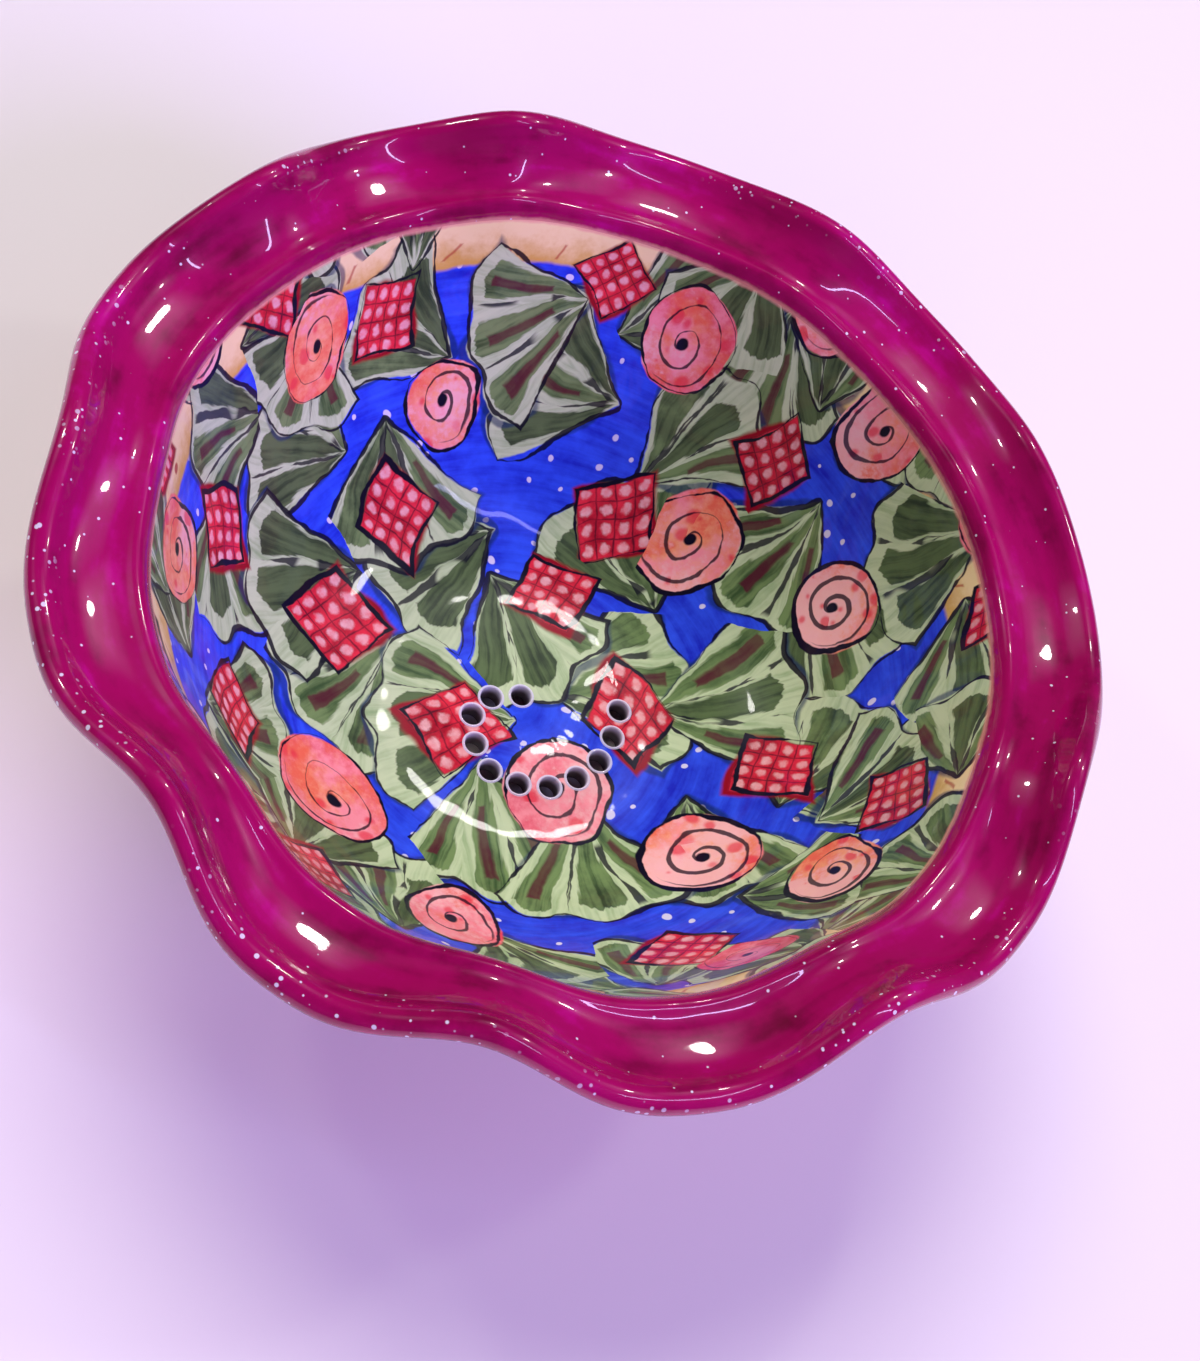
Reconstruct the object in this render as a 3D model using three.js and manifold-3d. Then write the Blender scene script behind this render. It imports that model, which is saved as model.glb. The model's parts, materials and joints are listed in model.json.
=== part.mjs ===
// Ceramic berry bowl: a thrown basin with drain holes, a ruffled rim and a foot ring with arches.
// Millimetres, +Z up. The origin lies on the table, under the axis of the bowl.
import * as THREE from "three";
import { mergeVertices } from "three/addons/utils/BufferGeometryUtils.js";
import Module from "manifold-3d";

const wasm = await Module();
wasm.setup();

// Basin, measured on its inside
const THROAT_RADIUS = 110; // where the wall ends and the rim begins
const BOWL_DEPTH = 78.5; // throat above the floor
const FLOOR_RADIUS = 34; // level middle of the floor
const FLOOR_THICKNESS = 7;
const WALL_THICKNESS = 6; // at the throat
const WALL_LEAN = 20; // degrees from upright at the throat
const HEEL_SWEEP = 46; // length over which the wall leaves the floor
const WALL_SWEEP = 40; // length over which the wall straightens towards the throat

// Rim, as it lies in the lobes between the pinches
const RIM_WIDTH = 28.7; // from the throat to the outermost edge of the lip
const RIM_RISE = 6; // middle of the lip above the throat
const LIP_THICKNESS = 7;
const LIP_SLOPE = 42; // degrees that the flange climbs where it meets the lip
const COLLAR_WIDTH = 6.8; // rounded shoulder between the throat and the groove
const COLLAR_CROWN = 6.2; // length over which the shoulder keeps the lean of the wall
const GROOVE_RISE = 2.8; // groove above the throat
const GROOVE_DIP = 38; // degrees that the shoulder falls into the groove
const GROOVE_CLIMB = 9; // degrees that the flange climbs out of the groove
const FLANGE_SWEEP = 12; // length over which the flange leaves the groove
const LIP_SWEEP = 6; // length over which the flange turns up to the lip

// Pinches that lift the rim and draw it in: the degrees from +X and the strength of each
const PINCHES = [
  [8, 1.2], [52, 0.6], [89, 0.9],
  [132, 1.2], [165, 1.05], [205, 0.8],
  [248, 1.05], [287, 1], [330, 1],
];
const PINCH_LIFT = 11;
const PINCH_PULL = 6.3;
const PINCH_SHARPNESS = 1.5; // 1 gives even waves, more gives narrow pinches and broad lobes
const PINCH_AT_THROAT = 0.35; // share of a pinch that is left at the throat
const PINCH_GROWTH = 1.4; // how late a pinch grows on its way from the throat to the lip
const PINCH_DEPTH = 36; // depth below the throat where the pinches have died away

// Drain holes, punched by eye along an open loop that leaves the middle of the floor
const DRAIN_COUNT = 11;
const DRAIN_DIAMETER = 6;
const DRAIN_EDGE = 0.7; // bevel where the punched edge was softened
const DRAIN_LOOP = [[-0.5, 3.5], [-10, -7.5], [3, -22], [21, -16], [28.8, 1], [25.5, 17.5]];

// Foot ring
const FOOT_CLEARANCE = 8; // underside of the floor above the table
const FOOT_RADIUS = 60;
const FOOT_WIDTH = 9;
const FOOT_TAPER = 2.5; // how far each flank spreads from the table to the underside
const FOOT_BEVEL = 1.2;
const NOTCH_COUNT = 4; // arches that let the drained water out
const NOTCH_WIDTH = 20;
const NOTCH_HEIGHT = 6;
const NOTCH_TURN = 0; // degrees from +X to the first notch

const SEAM = 0.3; // slip between the pieces that are luted together

// Facets
const TURN_STEPS = 90;
const WALL_STEPS = 11;
const COLLAR_STEPS = 5;
const FLANGE_STEPS = 5;
const LIP_STEPS = 5;
const FOOT_TOP_STEPS = 3;
const DRAIN_STEPS = 24;
const NOTCH_STEPS = 32;
const CUT_MARGIN = 5; // how far a cutter runs past the piece that it cuts

const floorHeight = FOOT_CLEARANCE + FLOOR_THICKNESS;
const throatHeight = floorHeight + BOWL_DEPTH;
const radians = THREE.MathUtils.degToRad;

// Unit vector at an angle above the horizontal, in the plane of a section
function heading(degrees) {
  return new THREE.Vector2(Math.cos(radians(degrees)), Math.sin(radians(degrees)));
}

// A curve that leaves one point along one heading and reaches another along a second heading
function sweep(start, startHeading, startLength, end, endHeading, endLength) {
  return new THREE.CubicBezierCurve(
    start,
    start.clone().addScaledVector(startHeading, startLength),
    end.clone().addScaledVector(endHeading, -endLength),
    end,
  );
}

// Both skins of a section: points on a curve, and points beside it on the outside of the bowl
function skins(curve, steps, thicknessAt) {
  const inside = [];
  const outside = [];
  for (let step = 0; step <= steps; step++) {
    const along = step / steps;
    const at = curve.getPoint(along);
    const tangent = curve.getTangent(along);
    const outward = new THREE.Vector2(tangent.y, -tangent.x);
    const pinch = pinchAt(at);
    inside.push({ at, pinch });
    outside.push({ at: at.clone().addScaledVector(outward, thicknessAt(along)), pinch });
  }
  return { inside, outside };
}

// Share of a pinch at a point of the inside: it starts below the throat and is whole at the lip
function pinchAt(point) {
  const { smoothstep, clamp, lerp } = THREE.MathUtils;
  if (point.x > THROAT_RADIUS) {
    const reach = clamp((point.x - THROAT_RADIUS) / (lipStart.x - THROAT_RADIUS), 0, 1);
    return lerp(PINCH_AT_THROAT, 1, Math.pow(reach, PINCH_GROWTH));
  }
  return PINCH_AT_THROAT * smoothstep(1 - (throatHeight - point.y) / PINCH_DEPTH, 0, 1);
}

// Height of the wave at an angle round the rim: a pinch's strength on the pinch, 0 in the lobes
function waveAt(angle) {
  const { euclideanModulo, lerp, radToDeg } = THREE.MathUtils;
  const degrees = euclideanModulo(radToDeg(angle), 360);
  const next = PINCHES.findIndex(([place]) => place > degrees);
  const [placeBefore, strengthBefore] = PINCHES.at(next <= 0 ? -1 : next - 1);
  const [placeAfter, strengthAfter] = PINCHES[Math.max(next, 0)];
  const gap = euclideanModulo(placeAfter - placeBefore, 360);
  const along = euclideanModulo(degrees - placeBefore, 360) / gap;
  const strength = lerp(strengthBefore, strengthAfter, (1 - Math.cos(Math.PI * along)) / 2);
  return strength * Math.pow((1 + Math.cos(2 * Math.PI * along)) / 2, PINCH_SHARPNESS);
}

// A profile turned round the axis; each point {at, pinch} takes its own share of the pinches
function turned(profile, steps = TURN_STEPS) {
  const geometry = new THREE.LatheGeometry(profile.map((point) => point.at), steps);
  const position = geometry.getAttribute("position");
  for (let index = 0; index < position.count; index++) {
    const { at, pinch } = profile[index % profile.length];
    const angle = Math.atan2(position.getX(index), position.getZ(index));
    const wave = pinch * waveAt(angle);
    const radius = at.x - PINCH_PULL * wave;
    position.setXYZ(
      index,
      radius * Math.cos(angle),
      radius * Math.sin(angle),
      at.y + PINCH_LIFT * wave,
    );
  }
  return geometry;
}

// Points of a profile that no pinch reaches
function plain(points) {
  return points.map((at) => ({ at, pinch: 0 }));
}

// A closed geometry as a solid that can be cut, and a cut solid as a geometry
function solid(geometry) {
  const bare = geometry.clone();
  bare.deleteAttribute("normal");
  bare.deleteAttribute("uv");
  const merged = mergeVertices(bare, 1e-3);
  return new wasm.Manifold(
    new wasm.Mesh({
      numProp: 3,
      vertProperties: merged.getAttribute("position").array,
      triVerts: new Uint32Array(merged.index.array),
    }),
  );
}

function geometryOf(body) {
  const mesh = body.getMesh();
  const geometry = new THREE.BufferGeometry();
  geometry.setAttribute("position", new THREE.BufferAttribute(mesh.vertProperties, 3));
  geometry.setIndex(new THREE.BufferAttribute(mesh.triVerts, 1));
  geometry.computeVertexNormals();
  return geometry;
}

// Section of the bowl: the inside of the wall, and the lip that the rim ends in
const throat = new THREE.Vector2(THROAT_RADIUS, throatHeight);
const wallHeading = heading(90 - WALL_LEAN);
const wallCurve = sweep(
  new THREE.Vector2(FLOOR_RADIUS, floorHeight),
  heading(0),
  HEEL_SWEEP,
  throat,
  wallHeading,
  WALL_SWEEP,
);
const wallThicknessAt = (along) => THREE.MathUtils.lerp(FLOOR_THICKNESS, WALL_THICKNESS, along);
const lipRadius = LIP_THICKNESS / 2;
const lipMiddle = throat.clone().add(new THREE.Vector2(RIM_WIDTH - lipRadius, RIM_RISE));
const lipStart = lipMiddle.clone().addScaledVector(heading(LIP_SLOPE + 90), lipRadius);

// Basin: the wall turned round the axis, with the drain holes punched through its floor
function basinGeometry() {
  const wall = skins(wallCurve, WALL_STEPS, wallThicknessAt);
  const profile = [
    ...plain([new THREE.Vector2(0, FOOT_CLEARANCE)]),
    ...wall.outside,
    ...wall.inside.reverse(),
    ...plain([new THREE.Vector2(0, floorHeight)]),
  ];
  let body = solid(turned(profile));
  const radius = DRAIN_DIAMETER / 2;
  const punch = plain([
    new THREE.Vector2(0, FOOT_CLEARANCE - CUT_MARGIN),
    new THREE.Vector2(radius, FOOT_CLEARANCE - CUT_MARGIN),
    new THREE.Vector2(radius, floorHeight - DRAIN_EDGE),
    new THREE.Vector2(radius + DRAIN_EDGE, floorHeight),
    new THREE.Vector2(radius + DRAIN_EDGE, floorHeight + CUT_MARGIN),
    new THREE.Vector2(0, floorHeight + CUT_MARGIN),
  ]);
  const loop = new THREE.SplineCurve(DRAIN_LOOP.map(([x, y]) => new THREE.Vector2(x, y)));
  for (const centre of loop.getSpacedPoints(DRAIN_COUNT - 1)) {
    const hole = turned(punch, DRAIN_STEPS).translate(centre.x, centre.y, 0);
    body = body.subtract(solid(hole));
  }
  return geometryOf(body);
}

// Ruffled rim: a rounded shoulder, a groove, a dished flange and a rolled lip
function rimGeometry() {
  const seat = throat.clone().addScaledVector(wallHeading, SEAM);
  const groove = new THREE.Vector2(THROAT_RADIUS + COLLAR_WIDTH, throatHeight + GROOVE_RISE);
  const collar = skins(
    sweep(seat, wallHeading, COLLAR_CROWN, groove, heading(-GROOVE_DIP), COLLAR_WIDTH / 2),
    COLLAR_STEPS,
    () => WALL_THICKNESS,
  );
  const flange = skins(
    sweep(groove, heading(GROOVE_CLIMB), FLANGE_SWEEP, lipStart, heading(LIP_SLOPE), LIP_SWEEP),
    FLANGE_STEPS,
    (along) => THREE.MathUtils.lerp(WALL_THICKNESS, LIP_THICKNESS, along),
  );
  const lip = [];
  for (let step = 1; step < LIP_STEPS; step++) {
    const angle = LIP_SLOPE + 90 - (180 * step) / LIP_STEPS;
    lip.push({ at: lipMiddle.clone().addScaledVector(heading(angle), lipRadius), pinch: 1 });
  }
  const profile = [
    collar.inside[0],
    collar.outside[0],
    ...flange.outside.slice(1),
    ...lip.reverse(),
    ...flange.inside.reverse(),
    ...collar.inside.reverse().slice(1),
  ];
  return turned(profile);
}

// Foot ring: its top is shaped to the underside of the basin, and arches are cut through it
function footGeometry() {
  const { outside } = skins(wallCurve, WALL_STEPS, (along) => wallThicknessAt(along) + SEAM);
  const heightAt = (radius) => {
    const next = Math.max(1, outside.findIndex((point) => point.at.x >= radius));
    const [low, high] = [outside[next - 1].at, outside[next].at];
    return THREE.MathUtils.mapLinear(radius, low.x, high.x, low.y, high.y);
  };
  const inner = FOOT_RADIUS - FOOT_WIDTH;
  const topInner = inner - FOOT_TAPER;
  const topOuter = FOOT_RADIUS + FOOT_TAPER;
  const top = [];
  for (let step = 0; step <= FOOT_TOP_STEPS; step++) {
    const radius = THREE.MathUtils.lerp(topOuter, topInner, step / FOOT_TOP_STEPS);
    top.push(new THREE.Vector2(radius, heightAt(radius)));
  }
  const profile = plain([
    new THREE.Vector2(inner + FOOT_BEVEL, 0),
    new THREE.Vector2(FOOT_RADIUS - FOOT_BEVEL, 0),
    new THREE.Vector2(FOOT_RADIUS, FOOT_BEVEL),
    ...top,
    new THREE.Vector2(inner, FOOT_BEVEL),
    new THREE.Vector2(inner + FOOT_BEVEL, 0),
  ]);
  let body = solid(turned(profile));
  const reach = topOuter + CUT_MARGIN;
  for (let notch = 0; notch < NOTCH_COUNT; notch++) {
    const arch = new THREE.CylinderGeometry(1, 1, reach, NOTCH_STEPS)
      .scale(NOTCH_WIDTH / 2, 1, NOTCH_HEIGHT)
      .translate(0, reach / 2, 0)
      .rotateZ(radians(NOTCH_TURN - 90 + (360 * notch) / NOTCH_COUNT));
    body = body.subtract(solid(arch));
  }
  return geometryOf(body);
}

const group = new THREE.Group();

function add(name, geometry, color, roughness) {
  const material = new THREE.MeshStandardMaterial({ color, roughness, metalness: 0 });
  const mesh = new THREE.Mesh(geometry, material);
  mesh.name = name;
  group.add(mesh);
}

add("basin", basinGeometry(), 0x2438a8, 0.12);
add("ruffled_rim", rimGeometry(), 0x9c0f5c, 0.1);
add("foot_ring", footGeometry(), 0xd9c8b2, 0.75);

export default group;
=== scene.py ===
import json
import math

import bmesh
import bpy
from mathutils import Color, Matrix, Vector, noise
from mathutils.geometry import interpolate_bezier


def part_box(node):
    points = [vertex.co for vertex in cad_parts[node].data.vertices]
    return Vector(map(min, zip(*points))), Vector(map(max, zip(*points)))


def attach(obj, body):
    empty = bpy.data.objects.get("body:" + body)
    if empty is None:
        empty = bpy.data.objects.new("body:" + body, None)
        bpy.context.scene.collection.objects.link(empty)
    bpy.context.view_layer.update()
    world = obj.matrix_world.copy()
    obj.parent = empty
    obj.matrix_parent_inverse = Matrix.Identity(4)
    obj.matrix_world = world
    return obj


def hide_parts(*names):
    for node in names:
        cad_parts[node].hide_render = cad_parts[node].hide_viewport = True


# Ceramic berry bowl: a painted basin with drain holes, a ruffled raspberry rim and a bare foot ring.
# Lengths are in metres. Angles are in degrees until math.radians turns them.
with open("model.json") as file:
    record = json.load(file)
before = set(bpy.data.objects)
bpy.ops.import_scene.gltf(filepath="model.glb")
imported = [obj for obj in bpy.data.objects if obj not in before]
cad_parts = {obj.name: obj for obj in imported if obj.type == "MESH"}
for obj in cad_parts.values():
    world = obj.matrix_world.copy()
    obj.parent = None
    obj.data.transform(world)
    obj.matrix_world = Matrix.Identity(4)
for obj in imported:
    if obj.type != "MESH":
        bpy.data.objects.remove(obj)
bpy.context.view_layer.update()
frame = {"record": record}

# Basin
# The thrown body of the bowl, white stoneware about 6 mm thick, with drain holes punched through its floor.
# Its inside is brush-painted under a thick clear glaze, and its outside is dipped in the raspberry glaze.
MM = 0.001
TINY = 0.01 * MM
WELD = 0.001 * MM
TURN_STEPS = 320
SHARP_ANGLE = 50
HAND_SEED = 1
FLOOR_RADIUS = 34 * MM
FLOOR_THICKNESS = 7 * MM
WALL_THICKNESS = 6 * MM
WALL_LEAN = 20
HEEL_SWEEP = 46 * MM
WALL_SWEEP = 40 * MM
WALL_STEPS = 64
THROAT_RADIUS = 110 * MM
BOWL_DEPTH = 78.5 * MM

underside_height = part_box("basin")[0].z
floor_height = underside_height + FLOOR_THICKNESS
throat_height = floor_height + BOWL_DEPTH


def between(low, high, share):
    """A size or place from low to high, by a share from 0 to 1."""
    return low + (high - low) * share


def in_section(radius, height):
    """A point of the bowl's section, in the plane through its axis."""
    return Vector((radius, 0, height))


def heading(degrees):
    """Unit vector in the section at an angle above the horizontal."""
    return in_section(math.cos(math.radians(degrees)), math.sin(math.radians(degrees)))


def sweep(start, start_heading, start_length, end, end_heading, end_length, steps):
    """Points of a curve that leaves start along one heading and reaches end along another."""
    return interpolate_bezier(
        start, start + start_heading * start_length, end - end_heading * end_length, end, steps + 1
    )


def outward_of(line):
    """At each point of a section line, the unit vector that points to the outside of the bowl."""
    found = []
    for place in range(len(line)):
        before = line[max(place - 1, 0)]
        after = line[min(place + 1, len(line) - 1)]
        run = (after - before).normalized()
        found.append(in_section(run.z, -run.x))
    return found


def lengths_along(line, start=0.0):
    """Distance along a section line at each of its points."""
    found = [start]
    for before, after in zip(line, line[1:]):
        found.append(found[-1] + (after - before).length)
    return found


# The rim was pinched nine times while the clay was soft: the degrees from +X and the strength of each
PINCHES = (
    (8, 1.2), (52, 0.6), (89, 0.9), (132, 1.2), (165, 1.05), (205, 0.8), (248, 1.05), (287, 1), (330, 1),
)
PINCH_LIFT = 11 * MM
PINCH_PULL = 6.3 * MM
PINCH_SHARPNESS = 1.5
PINCH_AT_THROAT = 0.35
PINCH_GROWTH = 1.4
PINCH_DEPTH = 36 * MM
RIM_WIDTH = 28.7 * MM
LIP_THICKNESS = 7 * MM
LIP_SLOPE = 42
lip_radius = LIP_THICKNESS / 2
lip_start_radius = THROAT_RADIUS + RIM_WIDTH - lip_radius + lip_radius * heading(LIP_SLOPE + 90).x


def pinch_share(point):
    """Share of a pinch at a point of the inside: it starts below the throat and is whole at the lip."""
    if point.x > THROAT_RADIUS:
        reach = min((point.x - THROAT_RADIUS) / (lip_start_radius - THROAT_RADIUS), 1)
        return between(PINCH_AT_THROAT, 1, reach**PINCH_GROWTH)
    rise = min(max(1 - (throat_height - point.z) / PINCH_DEPTH, 0), 1)
    return PINCH_AT_THROAT * rise * rise * (3 - 2 * rise)


def wave_at(angle):
    """Height of the wave at an angle round the bowl: a pinch's strength on the pinch, 0 in the lobes."""
    degrees = math.degrees(angle) % 360
    for number, (place, strength) in enumerate(PINCHES):
        next_place, next_strength = PINCHES[(number + 1) % len(PINCHES)]
        along = (degrees - place) % 360 / ((next_place - place) % 360)
        if along < 1:
            here = between(strength, next_strength, (1 - math.cos(math.pi * along)) / 2)
            return here * ((1 + math.cos(2 * math.pi * along)) / 2) ** PINCH_SHARPNESS
    return 0.0


class Clay:
    """A piece of the bowl while it is shaped: a mesh whose points know their pinch and their place."""

    def __init__(self):
        self.mesh = bmesh.new()
        self.pinch = self.mesh.verts.layers.float.new("pinch")
        self.along = self.mesh.verts.layers.float.new("along")
        self.bead = self.mesh.verts.layers.float.new("bead")

    def turn(self, line, shares, places, closed=False, steps=TURN_STEPS):
        """Turns a section line round the axis and returns the new faces."""
        old = set(self.mesh.faces)
        verts = []
        for point, share, place in zip(line, shares, places):
            vert = self.mesh.verts.new(point)
            vert[self.pinch] = share
            vert[self.along] = place
            verts.append(vert)
        edges = [self.mesh.edges.new(pair) for pair in zip(verts, verts[1:])]
        if closed:
            edges.append(self.mesh.edges.new((verts[-1], verts[0])))
        bmesh.ops.spin(
            self.mesh, geom=verts + edges, cent=(0, 0, 0), axis=(0, 0, 1), dvec=(0, 0, 0),
            angle=2 * math.pi, steps=steps, use_merge=True,
        )
        return [face for face in self.mesh.faces if face not in old]

    def ruffle(self):
        """Lifts the rim and draws it in at every pinch."""
        for vert in self.mesh.verts:
            angle = math.atan2(vert.co.y, vert.co.x)
            wave = vert[self.pinch] * wave_at(angle)
            radius = math.hypot(vert.co.x, vert.co.y) - PINCH_PULL * wave
            vert.co = (radius * math.cos(angle), radius * math.sin(angle), vert.co.z + PINCH_LIFT * wave)

    def unevenness(self, amount, spacing, start_height):
        """The small unevenness of hand work, which starts at a height and is whole one spacing above it."""
        noise.seed_set(HAND_SEED)
        for vert in self.mesh.verts:
            fade = min(max((vert.co.z - start_height) / spacing, 0), 1)
            vert.co += noise.noise_vector(vert.co / spacing) * amount * fade

    def fired(self, name, materials):
        """The finished piece as an object with its materials."""
        bmesh.ops.remove_doubles(self.mesh, verts=self.mesh.verts, dist=WELD)
        bmesh.ops.recalc_face_normals(self.mesh, faces=self.mesh.faces)
        for face in self.mesh.faces:
            face.smooth = True
        data = bpy.data.meshes.new(name)
        self.mesh.to_mesh(data)
        self.mesh.free()
        data.set_sharp_from_angle(angle=math.radians(SHARP_ANGLE))
        for material in materials:
            data.materials.append(material)
        piece = bpy.data.objects.new(name, data)
        bpy.context.scene.collection.objects.link(piece)
        return piece


# The section of the wall
throat = in_section(THROAT_RADIUS, throat_height)
wall_heading = heading(90 - WALL_LEAN)
wall_inside = sweep(
    in_section(FLOOR_RADIUS, floor_height), heading(0), HEEL_SWEEP,
    throat, wall_heading, WALL_SWEEP, WALL_STEPS,
)
wall_outward = [heading(-90)] + outward_of(wall_inside)[1:]
wall_outside = []
for step, point in enumerate(wall_inside):
    thickness = between(FLOOR_THICKNESS, WALL_THICKNESS, step / WALL_STEPS)
    wall_outside.append(point + wall_outward[step] * thickness)
wall_shares = [pinch_share(point) for point in wall_inside]
wall_places = lengths_along(wall_inside, FLOOR_RADIUS)
throat_place = wall_places[-1]

basin_clay = Clay()
basin_clay.turn(wall_inside, wall_shares, wall_places)
outside_faces = basin_clay.turn(wall_outside, wall_shares, wall_places)

# The floor with its drain holes: each was punched, and its edge softened into a small raised bead
DRAIN_RADIUS = 3 * MM
DRAIN_STEPS = 32
BEAD_WIDTH = 0.95 * MM
BEAD_RISE = 0.3 * MM
BEAD_ROUNDING = 0.8 * MM
BEAD_STEPS = 4
UNDER_EDGE = 0.5 * MM
PUNCH_SPREAD = 0.05
ON_BEAD = 1.0
IN_BORE = 2.0


def opening_middles(name):
    """Middles of the record's openings whose names start with a word."""
    middles = []
    for opening in frame["record"]["physics"]["openings"]:
        if opening["name"].startswith(name):
            low, high = (Vector(corner) for corner in opening["box_m"])
            middles.append((low + high) / 2)
    return middles


def level_loop(clay, radius, height):
    """The edges of a piece that lie on a circle round the axis at one height."""
    found = []
    for edge in clay.mesh.edges:
        misses = [
            max(abs(math.hypot(vert.co.x, vert.co.y) - radius), abs(vert.co.z - height))
            for vert in edge.verts
        ]
        if max(misses) < TINY:
            found.append(edge)
    return found


def punched_circle(clay, centre, radius, height):
    """A new circle of edges where a hole meets a level face."""
    place = Matrix.Translation((centre.x, centre.y, height))
    verts = bmesh.ops.create_circle(clay.mesh, segments=DRAIN_STEPS, radius=radius, matrix=place)["verts"]
    return list({edge for vert in verts for edge in vert.link_edges})


def fill_level(clay, edges):
    """Fills a level face between its outer edge and the holes in it, and returns the new faces."""
    old = set(clay.mesh.faces)
    bmesh.ops.triangle_fill(clay.mesh, use_beauty=True, edges=edges)
    return [face for face in clay.mesh.faces if face not in old]


def bead_section():
    """Steps over a hole's edge, as pairs of distance beyond the hole and height above the floor."""
    crest = BEAD_WIDTH / 2
    steps = []
    for step in range(1, BEAD_STEPS + 1):
        climb = step / BEAD_STEPS
        steps.append((BEAD_WIDTH - crest * climb, BEAD_RISE * (1 - math.cos(math.pi * climb)) / 2))
    for step in range(1, BEAD_STEPS + 1):
        fall = math.pi / 2 * step / BEAD_STEPS
        steps.append((crest * (1 - math.sin(fall)), BEAD_RISE - BEAD_ROUNDING * (1 - math.cos(fall))))
    return steps


floor_edges = level_loop(basin_clay, FLOOR_RADIUS, floor_height)
under_edges = level_loop(basin_clay, FLOOR_RADIUS, underside_height)
punches = []
for centre in opening_middles("drain_hole"):
    radius = DRAIN_RADIUS * (1 + PUNCH_SPREAD * noise.noise(centre / DRAIN_RADIUS))
    upper = punched_circle(basin_clay, centre, radius + BEAD_WIDTH, floor_height)
    lower = punched_circle(basin_clay, centre, radius + UNDER_EDGE, underside_height)
    floor_edges += upper
    under_edges += lower
    punches.append((centre, radius, upper))

fill_level(basin_clay, floor_edges)
outside_faces += fill_level(basin_clay, under_edges)

for centre, radius, edges in punches:
    steps = [(beyond, floor_height + rise, ON_BEAD) for beyond, rise in bead_section()]
    steps.append((0, underside_height + UNDER_EDGE, IN_BORE))
    steps.append((UNDER_EDGE, underside_height, IN_BORE))
    for beyond, height, bead in steps:
        grown = bmesh.ops.extrude_edge_only(basin_clay.mesh, edges=edges)["geom"]
        edges = [part for part in grown if isinstance(part, bmesh.types.BMEdge)]
        for vert in {vert for edge in edges for vert in edge.verts}:
            spoke = Vector((vert.co.x - centre.x, vert.co.y - centre.y, 0)).normalized()
            vert.co = Vector((centre.x, centre.y, height)) + spoke * (radius + beyond)
            vert[basin_clay.bead] = bead

for vert in basin_clay.mesh.verts:
    reach = math.hypot(vert.co.x, vert.co.y)
    if reach < FLOOR_RADIUS:
        vert[basin_clay.along] = reach

throat_edges = level_loop(basin_clay, THROAT_RADIUS, throat_height)
throat_edges += level_loop(basin_clay, wall_outside[-1].x, wall_outside[-1].z)
bridged = bmesh.ops.bridge_loops(basin_clay.mesh, edges=throat_edges)["faces"]
for face in outside_faces + bridged:
    face.material_index = 1
basin_clay.ruffle()


# Painted glaze of the inside
class Signal:
    """One value, vector or colour inside a glaze, on which sums are written as plain arithmetic."""

    def __init__(self, glaze, socket):
        self.glaze = glaze
        self.socket = socket

    def __add__(self, other):
        return self.glaze.sum("ADD", self, other)

    def __radd__(self, other):
        return self.glaze.sum("ADD", other, self)

    def __sub__(self, other):
        return self.glaze.sum("SUBTRACT", self, other)

    def __rsub__(self, other):
        return self.glaze.sum("SUBTRACT", other, self)

    def __mul__(self, other):
        return self.glaze.sum("MULTIPLY", self, other)

    def __rmul__(self, other):
        return self.glaze.sum("MULTIPLY", other, self)

    def __truediv__(self, other):
        return self.glaze.sum("DIVIDE", self, other)

    def __abs__(self):
        return self.glaze.sum("ABSOLUTE", self)


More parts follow.
